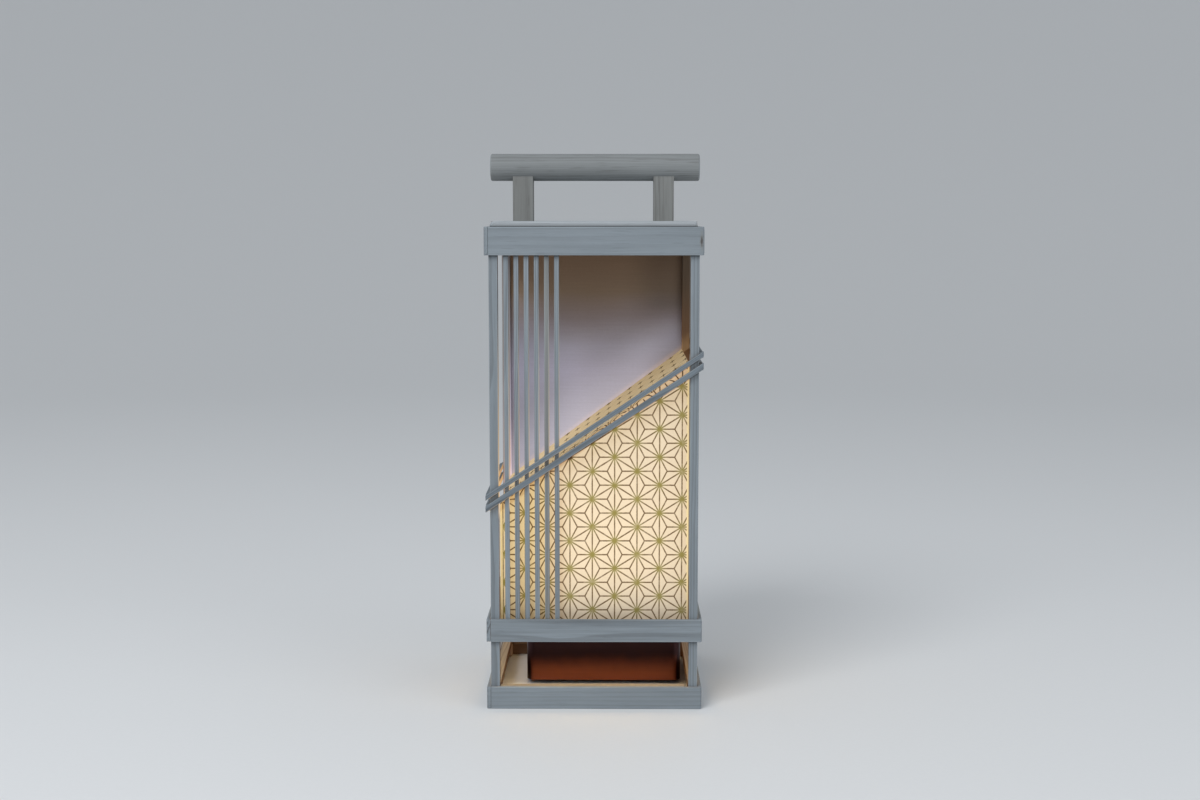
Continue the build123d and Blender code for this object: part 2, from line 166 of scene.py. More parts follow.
# ---- White board ----
PANEL_ROUND = 0.3 * mm
PANEL_FALLOFF_START = 170 * mm  # height from which the painted light and shade run up to the board's top
PANEL_FALLOFF_TONES = (  # painted light and shade up the board: share of that way, colour
    (0.10, (0.55, 0.54, 0.68)), (0.30, (0.59, 0.575, 0.745)), (0.48, (0.51, 0.495, 0.61)),
    (0.67, (0.335, 0.280, 0.285)), (0.83, (0.290, 0.207, 0.145)), (1.0, (0.268, 0.169, 0.106)))
PANEL_FALLOFF_WANDER = 14 * mm
PANEL_BACK = (0.66, 0.65, 0.62)
PANEL_SHADES = (  # painted shade at the left and right: across from, to, share left; heights without, with it
    ((-8 * mm, -55 * mm, 0.60), (295 * mm, 250 * mm)),
    ((18 * mm, 55 * mm, 0.63), (264 * mm, 286 * mm)))
PANEL_GLOW = (0.14, 0.14, 0.165)  # next to the slanting top
PANEL_GLOW_REACH = 48 * mm
PANEL_GLOW_RIGHT = (28 * mm, 66 * mm, 0.15)  # across from, to, share left
PANEL_RIM_GLOW = (0.085, 0.045, 0.012)
PANEL_RIM_REACH = 4 * mm

# ---- Light unit and fasteners ----
LAMP_STRENGTH = 9.0
DIFFUSER_WHITE = (0.82, 0.80, 0.76)
DIFFUSER_LIGHT = (1.0, 0.80, 0.50)
DIFFUSER_FADE = (8 * mm, 30 * mm, 1.0, 0.55)  # from the middle from, to; brightness
COPPER = (0.27, 0.080, 0.040)
# painted shade on the copper case: darker upwards, under the mid band, and round its upright corners
COPPER_SHADE = (0.046, 0.023, 0.0235)
CASE_SHADE_START = 5 * mm
CASE_SHADE_END = 21 * mm
CASE_SHADE_WANDER = 8 * mm
BASE_BLACK = (0.028, 0.027, 0.027)
BUTTON_WHITE = (0.55, 0.53, 0.49)
CELL_BLUE = (0.05, 0.16, 0.30)
RUBBER_BLACK = (0.02, 0.02, 0.021)
SOCKET_STEEL = (0.55, 0.55, 0.56)
ZINC_STEEL = (0.52, 0.52, 0.53)
MASK_GREEN = (0.015, 0.095, 0.045)
TRACK_GREEN = (0.05, 0.20, 0.09)

# ---- Studio, in metres ----
FLOOR_REACH = 2.2  # from the middle to where the floor starts to curve up
BOWL_REACH = 4.0
BOWL_RISE = 2.3
BOWL_STEPS = 16
BOWL_SIDES = 96
STUDIO_PAPER = (0.76, 0.765, 0.77)
AIR_COLOUR = (0.90, 0.95, 1.0)
AIR_STRENGTH = 0.52
SOFTBOX_AIM = Vector((0, 0, 0.2))
SOFTBOXES = (  # name, place, side, watts, colour
    ("key_softbox", (-0.9, -1.5, 1.9), 1.2, 32.0, (0.96, 0.98, 1.0)),
    ("fill_softbox", (1.6, -1.3, 0.9), 1.4, 8.0, (0.94, 0.97, 1.0)))

# ---- What the frame gives ----
SIDES = {  # side: (axis its pieces run along, outward axis, outward sign, open end)
    "front": ("X", "Y", -1, 1),
    "right": ("Y", "X", 1, 1),
    "back": ("X", "Y", 1, -1),
    "left": ("Y", "X", -1, -1),
}
AXES = "XYZ"

diffuser_low, diffuser_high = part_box("diffuser")
LAMP = (diffuser_low + diffuser_high) / 2  # the middle of the light
SHADE_LOW, SHADE_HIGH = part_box("paper_shade")
LID_LOW, LID_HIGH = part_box("lid")
POST_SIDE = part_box("post_back_left")[1].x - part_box("post_back_left")[0].x
SHADE_LEFT_TOP = max(v.co.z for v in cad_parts["paper_shade"].data.vertices
                     if abs(v.co.x - SHADE_LOW.x) < EASE)
WALL_WIDTH = SHADE_HIGH.x - SHADE_LOW.x
SLOPE = math.atan2(SHADE_HIGH.z - SHADE_LEFT_TOP, WALL_WIDTH)


def roof_height(x):
    """Height of the shade's slanting top over a place."""
    return SHADE_LEFT_TOP + (x - SHADE_LOW.x) * math.tan(SLOPE)


# ---- Material building ----
class Painter:
    """Shorthand for the nodes of one material."""

    def __init__(self, name):
        self.material = bpy.data.materials.new(name)
        self.material.use_nodes = True
        self.tree = self.material.node_tree
        self.shader = self.tree.nodes["Principled BSDF"]

    def add(self, kind, inputs=(), **settings):
        """A node with its settings, and its inputs linked or set by name or number."""
        node = self.tree.nodes.new("ShaderNode" + kind)
        for key, value in settings.items():
            setattr(node, key, value)
        for key, value in dict(inputs).items():
            self.feed(node.inputs[key], value)
        return node

    def feed(self, socket, value):
        if isinstance(value, bpy.types.NodeSocket):
            self.tree.links.new(value, socket)
        elif hasattr(value, "__len__") and len(value) == 3 and socket.type == "RGBA":
            socket.default_value = (*value, 1)
        else:
            socket.default_value = value

    def math(self, operation, a, b=0.0, c=0.0, clamp=False):
        node = self.add("Math", {0: a, 1: b, 2: c}, operation=operation, use_clamp=clamp)
        return node.outputs[0]

    def minus(self, a, b):
        return self.math("SUBTRACT", a, b)

    def times(self, a, *others):
        for other in others:
            a = self.math("MULTIPLY", a, other)
        return a

    def line(self, value, slope, start):
        """The value times the slope, plus the start."""
        return self.math("MULTIPLY_ADD", value, slope, start)

    def larger(self, a, b):
        return self.math("MAXIMUM", a, b)

    def from_whole(self, value):
        """How far a number lies from the nearest whole one, with its sign."""
        return self.minus(value, self.math("ROUND", value))

    def vector(self, operation, a, b=(0, 0, 0)):
        return self.add("VectorMath", {0: a, 1: b}, operation=operation).outputs[0]

    def length(self, a):
        return self.add("VectorMath", {0: a}, operation="LENGTH").outputs["Value"]

    def split(self, a):
        return self.add("SeparateXYZ", {0: a}).outputs

    def join(self, x, y, z=0.0):
        return self.add("CombineXYZ", {0: x, 1: y, 2: z}).outputs[0]

    def coords(self):
        return self.add("TexCoord").outputs["Object"]

    def facing(self):
        """The way the surface faces, in the lantern's frame."""
        return self.add("TexCoord").outputs["Normal"]

    def turned_to(self, direction):
        """How far the surface faces a direction, from 0 to 1."""
        ray = self.vector("NORMALIZE", direction)
        dot = self.add("VectorMath", {0: ray, 1: self.facing()}, operation="DOT_PRODUCT")
        return self.larger(dot.outputs["Value"], 0.0)

    def attribute(self, name):
        return self.add("Attribute", attribute_name=name).outputs["Fac"]

    def noise(self, place, stretch, detail=2.0, rough=0.5):
        """Noise from 0 to 1, with this many cells a metre along each axis."""
        scaled = self.vector("MULTIPLY", place, stretch)
        node = self.add("TexNoise", {"Vector": scaled, "Scale": 1.0, "Detail": detail, "Roughness": rough})
        return node.outputs[0]

    def ramp(self, value, stops):
        """Steps from 0 to 1: pairs of place and grey or colour."""
        node = self.add("ValToRGB", {0: value})
        elements = node.color_ramp.elements
        while len(elements) < len(stops):
            elements.new(0.5)
        for element, (place, colour) in zip(elements, stops):
            element.position = place
            element.color = (*colour, 1) if hasattr(colour, "__len__") else (colour, colour, colour, 1)
        return node.outputs[0]

    def smooth(self, value, low, high, from_value=0.0, to_value=1.0):
        inputs = {0: value, 1: low, 2: high, 3: from_value, 4: to_value}
        return self.add("MapRange", inputs, interpolation_type="SMOOTHSTEP").outputs[0]

    def mix(self, share, a, b, blend="MIX"):
        node = self.add("Mix", data_type="RGBA", blend_type=blend)
        self.feed(node.inputs[0], share)
        self.feed(node.inputs[6], a)
        self.feed(node.inputs[7], b)
        return node.outputs[2]

    def filtered(self, colour, by):
        """The colour times another colour or a grey."""
        return self.mix(1.0, colour, by, "MULTIPLY")

    def dimmed(self, colour, share, shade):
        """The colour times the shade, as far as the share of it goes."""
        return self.filtered(colour, self.mix(share, WHITE, shade))

    def tint(self, colour, value, swing):
        """The colour made darker or lighter, by up to the swing, by a value from 0 to 1."""
        return self.filtered(colour, self.line(value, 2 * swing, 1 - swing))

    def bump(self, height, distance, strength=1.0):
        return self.add("Bump", {"Height": height, "Distance": distance, "Strength": strength}).outputs[0]

    def shade(self, **sockets):
        """Sets or links sockets of the shader, named with underscores for spaces."""
        for name, value in sockets.items():
            self.feed(self.shader.inputs[name.replace("_", " ")], value)
        return self.material


# ---- Light and shade written into the materials ----
def above_shade(paint, place):
    """Height above the shade's slanting top."""
    across, _, height = paint.split(place)
    roof = paint.line(paint.minus(across, SHADE_LOW.x), math.tan(SLOPE), SHADE_LEFT_TOP)
    return paint.minus(height, roof)


def lamplight(paint, place):
    """Share of the shade's light that reaches a face here: most beside the shade."""
    height = paint.split(place)[2]
    level = paint.math("MINIMUM", paint.larger(height, LAMP.z), SHADE_LEFT_TOP)
    to_light = paint.vector("SUBTRACT", paint.join(LAMP.x, LAMP.y, level), place)
    fade = paint.smooth(above_shade(paint, place), 0.0, LAMPLIGHT_FADE, 1.0, 0.0)
    start, end = (SHADE_LOW.z + rise for rise in LAMPLIGHT_EDGE)
    below = paint.smooth(height, start, end, LAMPLIGHT_BELOW, 1.0)
    return paint.times(paint.turned_to(to_light), fade, below)


def turned_inwards(paint, place):
    """How far an upright face under the lid is turned to the middle, from 0 to 1."""
    turned = paint.turned_to(paint.vector("MULTIPLY", place, (-1, -1, 0)))
    return paint.times(turned, paint.math("LESS_THAN", paint.split(place)[2], LID_LOW.z))


def light_of_top(paint, place):
    """Share of the slanting top's light on a face above it: most at the left, on faces that
    look right."""
    across, depth, _ = paint.split(place)
    height = above_shade(paint, place)
    inwards = turned_inwards(paint, place)
    looks_right = paint.larger(paint.split(paint.facing())[0], 0.0)
    share = paint.times(
        paint.line(inwards, TOP_LIGHT_INWARDS, looks_right),
        paint.smooth(height, 0.0, TOP_LIGHT_FADE, 1.0, 0.0),
        paint.smooth(height, *TOP_LIGHT_START),
        paint.smooth(across, SHADE_LOW.x, SHADE_HIGH.x, 1.0, TOP_LIGHT_RIGHT),
        paint.smooth(depth, SHADE_LOW.y, SHADE_HIGH.y, 1.0, TOP_LIGHT_BACK))
    reach, strength = TOP_LIGHT_CLOSE
    close = paint.times(paint.smooth(height, 0.0, reach, strength, 0.0),
                        paint.math("GREATER_THAN", height, TOP_LIGHT_START[1]))
    share = paint.line(close, inwards, share)
    return paint.times(share, paint.math("LESS_THAN", across, SHADE_HIGH.x + POST_SIDE))


def below_sash(paint, place, level):
    """Height below the lower edge of a front sash strip, and whether a point is over the
    strip's middle."""
    low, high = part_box(f"sash_{level}_front")
    climb = climb_of(f"sash_{level}_front")
    slope = climb / (high.x - low.x)
    across, _, height = paint.split(place)
    below = paint.minus(paint.line(across, slope, low.z - slope * low.x), height)
    half_width = (high.z - low.z - climb) / 2
    return below, paint.math("LESS_THAN", below, -half_width)


def contact_shade(paint, place):
    """Painted shadow on an upright stick at the front: its brightness, darker right under what crosses it.
    """
    crossings = []
    for band in ("top_band_front", "mid_band_front"):
        below = paint.minus(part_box(band)[0].z, paint.split(place)[2])
        crossings.append((below, paint.math("LESS_THAN", below, 0.0)))
    crossings += [below_sash(paint, place, level) for level in ("upper", "lower")]
    share = 1.0
    for below, above in crossings:
        under = paint.smooth(below, 0.0, CONTACT_REACH, CONTACT_SHADE, 1.0)
        share = paint.times(share, paint.larger(under, above))
    return share


# ---- Wood ----
def along_grain(paint, along, climb_angle, shift=(0, 0, 0)):
    """Places with the piece's length turned to Z, and shifted."""
    turns = {"X": (0, climb_angle - math.pi / 2, 0), "Y": (math.pi / 2, 0, 0), "Z": (0, 0, 0)}
    return paint.add("Mapping", {"Vector": paint.coords(), "Rotation": turns[along],
                                 "Location": shift}).outputs[0]


def growth_rings(paint, centred, grain, seed, ring):
    """Growth rings round a pith beside the piece, from 0 to 1, dark. Some years are fainter."""
    angle = 2.4 * seed
    away = PITH_AWAY + PITH_SPREAD * math.sin(5.1 * seed)
    pith = (away * math.cos(angle), away * math.sin(angle), 0)
    across = paint.vector("MULTIPLY", paint.vector("SUBTRACT", centred, pith), (1, 1, 0))
    radius = paint.line(paint.noise(grain, (20, 20, 3.5)), RING_SWAY, paint.length(across))
    radius = paint.line(paint.noise(grain, (90, 90, 14)), RING_FINE_SWAY, radius)
    rings = paint.ramp(paint.math("FRACT", paint.math("DIVIDE", radius, ring * mm)), YEAR)
    years = paint.noise(paint.join(radius, 0.37 * seed), (260, 1, 1), 1.0)
    return paint.times(rings, paint.smooth(years, 0.30, 0.68, 0.25, 1.0))


def wood(name, along, seed, climb_angle=0.0, ring=1.7, depth=1.0, tone=1.0, warm=0.0, whiten=0.0,
         pores=0.2, knotted=False, crossed=False, inner=INNER_SHADE_AND_LIGHT, joint_shadow_height=None):
    """Planed wood: growth rings in the solid, fibres and pores along it. ring is a year's width in
    mm, depth the contrast of the grain, tone its lightness, warm how much redder it is, and whiten
    a share of white paint. crossed is for an upright stick at the front, which bands and sash
    strips cross; it gets painted shadows right under them. inner is the painted shade of faces
    turned inwards, and the slanting top's painted light on them. joint_shadow_height is the height of the
    joint below, over which a painted shadow darkens the colour."""
    paint = Painter(name)
    place = paint.coords()
    grain = along_grain(paint, along, climb_angle, (0.31 * seed, 0.17 * seed, 0.23 * seed))
    rings = growth_rings(paint, along_grain(paint, along, climb_angle), grain, seed, ring)
    streaks = paint.noise(grain, (420, 420, 7), 3.0, 0.6)
    fibres = paint.noise(grain, (1500, 1500, 40), 3.0, 0.65)
    blotch = paint.noise(grain, (45, 45, 14), 3.0)
    dashes = paint.smooth(paint.noise(grain, (1000, 1000, 50)), 0.58, 0.70)

    warmth = (1 + warm, 1, 1 - warm)
    light = [tone * c * k for c, k in zip(WOOD_LIGHT, warmth)]
    light = [c + whiten * (PAINT_WHITE - c) for c in light]
    dark = [tone * c * k for c, k in zip(WOOD_DARK, warmth)]
    colour = paint.mix(paint.times(rings, 0.62 * depth), light, dark)
    colour = paint.tint(colour, streaks, 0.26 * depth)
    colour = paint.tint(colour, fibres, 0.10)
    colour = paint.tint(colour, blotch, 0.14)
    colour = paint.mix(paint.times(dashes, pores), colour, dark)
    worn = paint.times(paint.attribute("wear"), paint.smooth(blotch, 0.35, 0.65, 0.1, 0.55))
    colour = paint.mix(worn, colour, WOOD_WORN)
    relief = paint.line(rings, -0.5, paint.times(fibres, 0.6))
    relief = paint.line(dashes, -0.8 * pores, relief)

    # painted shade on faces turned inwards, which only the lamp warms
    shaded, top_light = inner
    inwards = paint.smooth(turned_inwards(paint, place), *SHADED_RANGE)
    colour = paint.mix(inwards, colour, paint.tint(shaded, fibres, 0.15))
    if crossed:
        colour = paint.filtered(colour, contact_shade(paint, place))
    if joint_shadow_height is not None:
        from_joint = paint.minus(paint.split(place)[2], joint_shadow_height)
        colour = paint.filtered(colour, paint.smooth(from_joint, *LID_JOINT_SHADE, 1.0))
    if knotted:
        colour, relief = knot(paint, place, colour, relief)
    glow = paint.filtered(paint.filtered(colour, LAMPLIGHT), lamplight(paint, place))
    from_top = paint.filtered(paint.tint(top_light, fibres, 0.2), light_of_top(paint, place))
    return paint.shade(
        Base_Color=colour, Roughness=paint.line(streaks, 0.2, 0.52),
        Normal=paint.bump(relief, 0.12 * mm, 0.55), Specular_IOR_Level=0.3,
        Emission_Color=paint.mix(1.0, glow, from_top, "ADD"), Emission_Strength=1.0)


def knot(paint, place, colour, relief):
    """A small dark knot with a cracked heart, at the right end of the top front band."""
    offset = paint.vector("DIVIDE", paint.vector("SUBTRACT", place, KNOT_PLACE), KNOT_SIZE)
    wobble = paint.noise(place, (500, 500, 300), 3.0)
    distance = paint.line(wobble, 0.9, paint.length(offset))
    halo = paint.smooth(distance, 0.75, 1.75, 1.0, 0.0)
    heart = paint.smooth(distance, 0.60, 1.05, 1.0, 0.0)
    colour = paint.mix(paint.times(halo, 0.45), colour, KNOT_HALO)
    colour = paint.mix(paint.times(heart, 0.85), colour, KNOT_HEART)
    return colour, paint.minus(relief, paint.times(heart, 1.5))


def section(low_u, high_u, low_v, high_v, radius):
    """Points round a rectangle with rounded corners, each (u, v, wear)."""
    guard = min(EDGE_BAND, (high_u - low_u) / 2.5 - radius, (high_v - low_v) / 2.5 - radius)
    centres = ((high_u - radius, high_v - radius), (low_u + radius, high_v - radius),
               (low_u + radius, low_v + radius), (high_u - radius, low_v + radius))
    points = []
    for quarter, (u, v) in enumerate(centres):
        start = quarter * math.pi / 2
        su, sv = math.cos(start), math.sin(start)
        points.append((u + radius * su + guard * sv, v + radius * sv - guard * su, 0.0))
        for step in range(4):
            angle = start + step * math.pi / 6
            points.append((u + radius * math.cos(angle), v + radius * math.sin(angle), 1.0))
        points.append((u - radius * sv - guard * su, v + radius * su - guard * sv, 0.0))
    return points


def rounding(distance, radius):
    """How far a rounded end has come in, this far from its tip."""
    if radius <= 0 or distance >= radius:
        return 0.0
    return radius - math.sqrt(radius ** 2 - (radius - distance) ** 2)


def stations(length, start_round, end_round):
    """Places along a piece, close together where its ends are rounded."""
    arc = [1 - math.cos(step * math.pi / 12) for step in range(7)]
    places = {start_round * share for share in arc} | {length - end_round * share for share in arc}
    middle = length - start_round - end_round
    count = max(2, round(middle / STATION_STEP))
    places |= {start_round + middle * step / count for step in range(1, count)}
    return sorted(places)


def add_object(name, data):
    made = bpy.data.objects.new(name, data)
    bpy.context.scene.collection.objects.link(made)
    return made


def new_piece(name, mesh, body, material):
    piece = add_object(name, mesh)
    piece.data.materials.append(material)
    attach(piece, body)
    return piece


def closed_mesh(name, rings, wear):
    """A mesh from rings of points joined in order, with both ends closed."""
    size = len(rings[0])
    points = [point for ring in rings for point in ring]
    faces = []
    for row in range(len(rings) - 1):
        for column in range(size):
            after = (column + 1) % size
            faces.append((row * size + column, row * size + after,
                          (row + 1) * size + after, (row + 1) * size + column))
    faces.append(tuple(range(size)))
    faces.append(tuple(range((len(rings) - 1) * size, len(rings) * size)))
    mesh = bpy.data.meshes.new(name)
    mesh.from_pydata(points, [], faces)
    mesh.attributes.new("wear", "FLOAT", "POINT").data.foreach_set("value", wear)
    shell = bmesh.new()
    shell.from_mesh(mesh)
    bmesh.ops.recalc_face_normals(shell, faces=shell.faces)
    shell.to_mesh(mesh)
    shell.free()
    mesh.shade_smooth()
    mesh.set_sharp_from_angle(angle=math.radians(SHARP_ANGLE))
    return mesh


def climb_of(node):
    """Height that a sloping strip gains from its left end to its right."""
    low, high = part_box(node)
    points = [v.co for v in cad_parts[node].data.vertices]
    ends = []
    for x in (low.x, high.x):
        heights = [p.z for p in points if abs(p.x - x) < EASE]
        ends.append((min(heights) + max(heights)) / 2)
    return ends[1] - ends[0]


def stick(node, along, seed, slot, climb=0.0, open_end=0, outward=None, worn_round=0.0, **look):
    """A hand-planed stick or board in a CAD node's place, wavy and unevenly worn. climb is the
    height that it gains along its length. open_end (-1 or 1) is the end at an outer corner, which
    is rounded on the outward side, given as (axis, sign), and top and bottom."""
    low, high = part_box(node)
    axis = AXES.index(along)
    u_axis, v_axis = [k for k in range(3) if k != axis]
    length = high[axis] - low[axis]
    material = wood(node, along, seed, climb_angle=math.atan2(climb, length), **look)
    start_round = CORNER_PLAN_ROUND + worn_round if open_end < 0 else EASE
    end_round = CORNER_PLAN_ROUND + worn_round if open_end > 0 else EASE
    rings, wear = [], []
    for distance in stations(length, start_round, end_round):
        at = low[axis] + distance
        lift = climb * (distance / length - 0.5)
        limits = {}
        for k in (u_axis, v_axis):
            middle, half = (low[k] + high[k]) / 2, (high[k] - low[k]) / 2
            if k == 2:
                half -= abs(climb) / 2
                middle += lift
            limits[k] = [middle - half, middle + half]
        from_end = min(distance, length - distance)
        open_distance = distance if open_end < 0 else length - distance
        for k in (u_axis, v_axis):
            for sign in (-1, 1):
                swing = noise.noise(Vector((at * 22, k + 2.7 * sign, 3.1 * seed)))
                inset = SURFACE_WAVE * (0.5 + 0.5 * swing) + rounding(from_end, EASE)
                if open_end and (AXES[k], sign) == outward:
                    inset += rounding(open_distance, CORNER_PLAN_ROUND)
                if open_end and k == 2:
                    uneven = 1 + 0.35 * math.sin(seed + sign)
                    inset += rounding(open_distance, worn_round * uneven)
                limits[k][(sign + 1) // 2] -= sign * inset
        ease = EASE * (1.0 + 0.45 * noise.noise(Vector((at * 60, 9.3, 1.7 * seed))))
        ring = []
        for u, v, worn in section(*limits[u_axis], *limits[v_axis], ease):
            point = Vector()
            point[axis], point[u_axis], point[v_axis] = at, u, v
            ring.append(point)
            wear.append(worn)
        rings.append(ring)
    name = node + "_wood"
    piece = new_piece(name, closed_mesh(name, rings, wear), "lantern_frame", material)
    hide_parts(node)


def frame_sticks():
    """Posts, bands, rails and ledges."""
    seed = 1
    for end, (tone, warm) in POST_TONES_AND_SHADE.items():
        for side in ("left", "right"):
            node = f"post_{end}_{side}"
            stick(node, "Z", seed, "frame_wood", depth=0.8, tone=tone, warm=warm, crossed=end == "front",
                  inner=BOARD_SIDE_SHADE_AND_LIGHT if node == "post_back_left" else INNER_SHADE_AND_LIGHT)
            seed += 1
    for side, (along, outward_axis, sign, open_end) in SIDES.items():
        for level, ring, depth in BAND_GRAIN:
            node = f"{level}_band_{side}"
            by_knot = node == "top_band_front"
            stick(node, along, seed, "frame_wood", ring=ring, depth=depth, knotted=by_knot,
                  open_end=open_end, outward=(outward_axis, sign),
                  worn_round=KNOT_CORNER_ROUND if by_knot else CORNER_WORN_ROUND)
            seed += 1
        # the rails and ledges are warmer: painted warmth of the lamp's light on them
        for node in ("base_rail_" + side, "shade_ledge_" + side):
            stick(node, along, seed, "frame_wood", warm=0.35)
            seed += 1
    for node in ("top_rail_front", "top_rail_back"):
        stick(node, "X", seed, "frame_wood")
        seed += 1


def slats():
    index = 1
    while f"slat_{index}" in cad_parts:
        tone, warm = (0.86, 0.10) if index == DARKER_SLAT else (1.0, 0.0)
        stick(f"slat_{index}", "Z", 40 + index, "slat_wood", ring=1.3, crossed=True, tone=tone, warm=warm)
        index += 1


def sash():
    """The strips that climb across the front and back, and their runs along the sides."""
    seed = 60
    for level in ("upper", "lower"):
        for side, (along, *_) in SIDES.items():
            node = f"sash_{level}_{side}"
            climb = climb_of(node) if along == "X" else 0.0
            stick(node, along, seed, "sash_wood", climb=climb, ring=1.3, tone=0.78, warm=-0.04)
            seed += 1


def lid_board(low, high):
    """A flat board in the lid's place. Its left edge is sanded round and its right one leans."""
    thickness = high.z - low.z
    rings, wear = [], []
    for distance in stations(thickness, EASE, LID_LEFT_ROUND):
        drop = thickness - distance
        inset = rounding(min(distance, drop), EASE)
        left = low.x + max(inset, rounding(drop, LID_LEFT_ROUND))
        right = high.x - inset - LID_RIGHT_LEAN * distance / thickness
        ring = []
        for x, y, worn in section(left, right, low.y + inset, high.y - inset, LID_CORNER_ROUND):
            ring.append(Vector((x, y, low.z + distance)))
            wear.append(1.0 if inset else worn)
        rings.append(ring)
    piece = new_piece("lid_whitewood", closed_mesh("lid_whitewood", rings, wear),
                      "lantern_frame",
                      wood("lid_board", "X", 77, ring=4.0, depth=0.35, tone=1.1, whiten=0.30,
                           joint_shadow_height=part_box("top_band_front")[1].z))
    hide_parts("lid")


def handle_posts():
    for seed, node in ((96, "handle_post_left"), (97, "handle_post_right")):
        give(wood(node, "Z", seed, ring=2.9, depth=0.8, tone=0.86, warm=0.12, pores=0.3), node)


def handle_bar():
    """A round bar, not quite true, with softly rounded ends."""
    low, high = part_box("handle_bar")
    centre = (low + high) / 2
    radius = (high.z - low.z) / 2
    length = high.x - low.x
    rings, wear = [], []
    for distance in stations(length, BAR_END_ROUND, BAR_END_ROUND):
        inset = rounding(min(distance, length - distance), BAR_END_ROUND)
        ring = []
        for step in range(BAR_SIDES):
            angle = step * 2 * math.pi / BAR_SIDES
            side = Vector((0, math.cos(angle), math.sin(angle)))
            wander = noise.noise(Vector((distance * 14, side.y * 1.3, side.z * 1.3)))
            reach = radius - inset - SURFACE_WAVE * (0.5 + 0.5 * wander)
            ring.append(Vector((low.x + distance, centre.y, centre.z)) + side * reach)
            wear.append(min(1.0, inset / EASE))
        rings.append(ring)
    piece = new_piece("handle_bar_wood", closed_mesh("handle_bar_wood", rings, wear),
                      "lantern_frame",
                      wood("handle_bar", "X", 90, ring=1.5, depth=0.75, tone=0.92, warm=0.08, pores=0.35))
    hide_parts("handle_bar")


# ---- Paper ----
def nearest_star(paint, across, up):
    """The way on the printed sheet from the nearest star, and its length, in star pitches."""
    column = paint.math("DIVIDE", paint.minus(across, STAR_U), 2 * COLUMN_PITCH)
    row = paint.math("DIVIDE", paint.minus(up, STAR_V), STAR_PITCH)
    ways = []
    for shift in (0.0, 0.5):  # every other column of stars stands half a pitch higher
        du = paint.times(paint.from_whole(paint.minus(column, shift)), math.sqrt(3))
        dv = paint.from_whole(paint.minus(row, shift))
        ways.append((du, dv, paint.length(paint.join(du, dv))))
    (du_a, dv_a, reach_a), (du_b, dv_b, reach_b) = ways
    second = paint.math("LESS_THAN", reach_b, reach_a)
    du = paint.line(second, paint.minus(du_b, du_a), du_a)
    dv = paint.line(second, paint.minus(dv_b, dv_a), dv_a)
    return du, dv, paint.math("MINIMUM", reach_a, reach_b)


def print_ink(paint, on_top):
    """Hemp-leaf print: in each six-sided cell, twelve rays from a star. Returns the share of
    ink, how close a star's heart is, and how far an upright fold, or on the top its front."""
    place = paint.add("UVMap", uv_map="print").outputs[0]
    across, up, _ = paint.split(place)
    du, dv, reach = nearest_star(paint, across, up)
    reach = paint.times(reach, STAR_PITCH)
    turn = paint.math("DIVIDE", paint.math("ARCTAN2", dv, du), math.pi / 6)
    off_ray = paint.math("SINE", paint.times(paint.from_whole(turn), math.pi / 6))
    gap = paint.times(reach, paint.math("ABSOLUTE", off_ray))
    wander = paint.noise(place, (900, 900, 1), 3.0)
    gap = paint.line(paint.minus(wander, 0.5), LINE_WANDER, gap)
    edge = LINE_WIDTH / 2
    ink = paint.smooth(gap, edge - LINE_SOFTNESS, edge + LINE_SOFTNESS, 1.0, 0.0)
    thin = paint.noise(place, (260, 260, 1))
    ink = paint.times(ink, paint.smooth(thin, 0.25, 0.55, 0.72, 1.0))
    heart = paint.smooth(reach, *HEART_REACH, 1.0, 0.0)
    if on_top:
        to_fold = paint.minus(across, STAR_U - TOP_STAR_DEPTH)
        lines = paint.smooth(to_fold, 0.0, TOP_INK_FADE, 1.0, 0.25)
        dots = paint.length(paint.join(paint.times(du, TOP_DOT_DEPTH), dv))
        dots = paint.smooth(dots, *(r / STAR_PITCH for r in TOP_DOT_REACH), 1.0, 0.0)
        ink = paint.times(ink, paint.larger(lines, dots))
    else:
        along = paint.math("DIVIDE", paint.minus(across, SHADE_LOW.x), WALL_WIDTH)
        inside = paint.math("FRACT", along)
        ink = paint.times(ink, paint.math("GREATER_THAN", inside, MARGIN_LEFT / WALL_WIDTH),
                          paint.math("LESS_THAN", inside, 1 - MARGIN_RIGHT / WALL_WIDTH))
        to_fold = paint.times(paint.math("PINGPONG", inside, 0.5), WALL_WIDTH)
    return ink, heart, to_fold


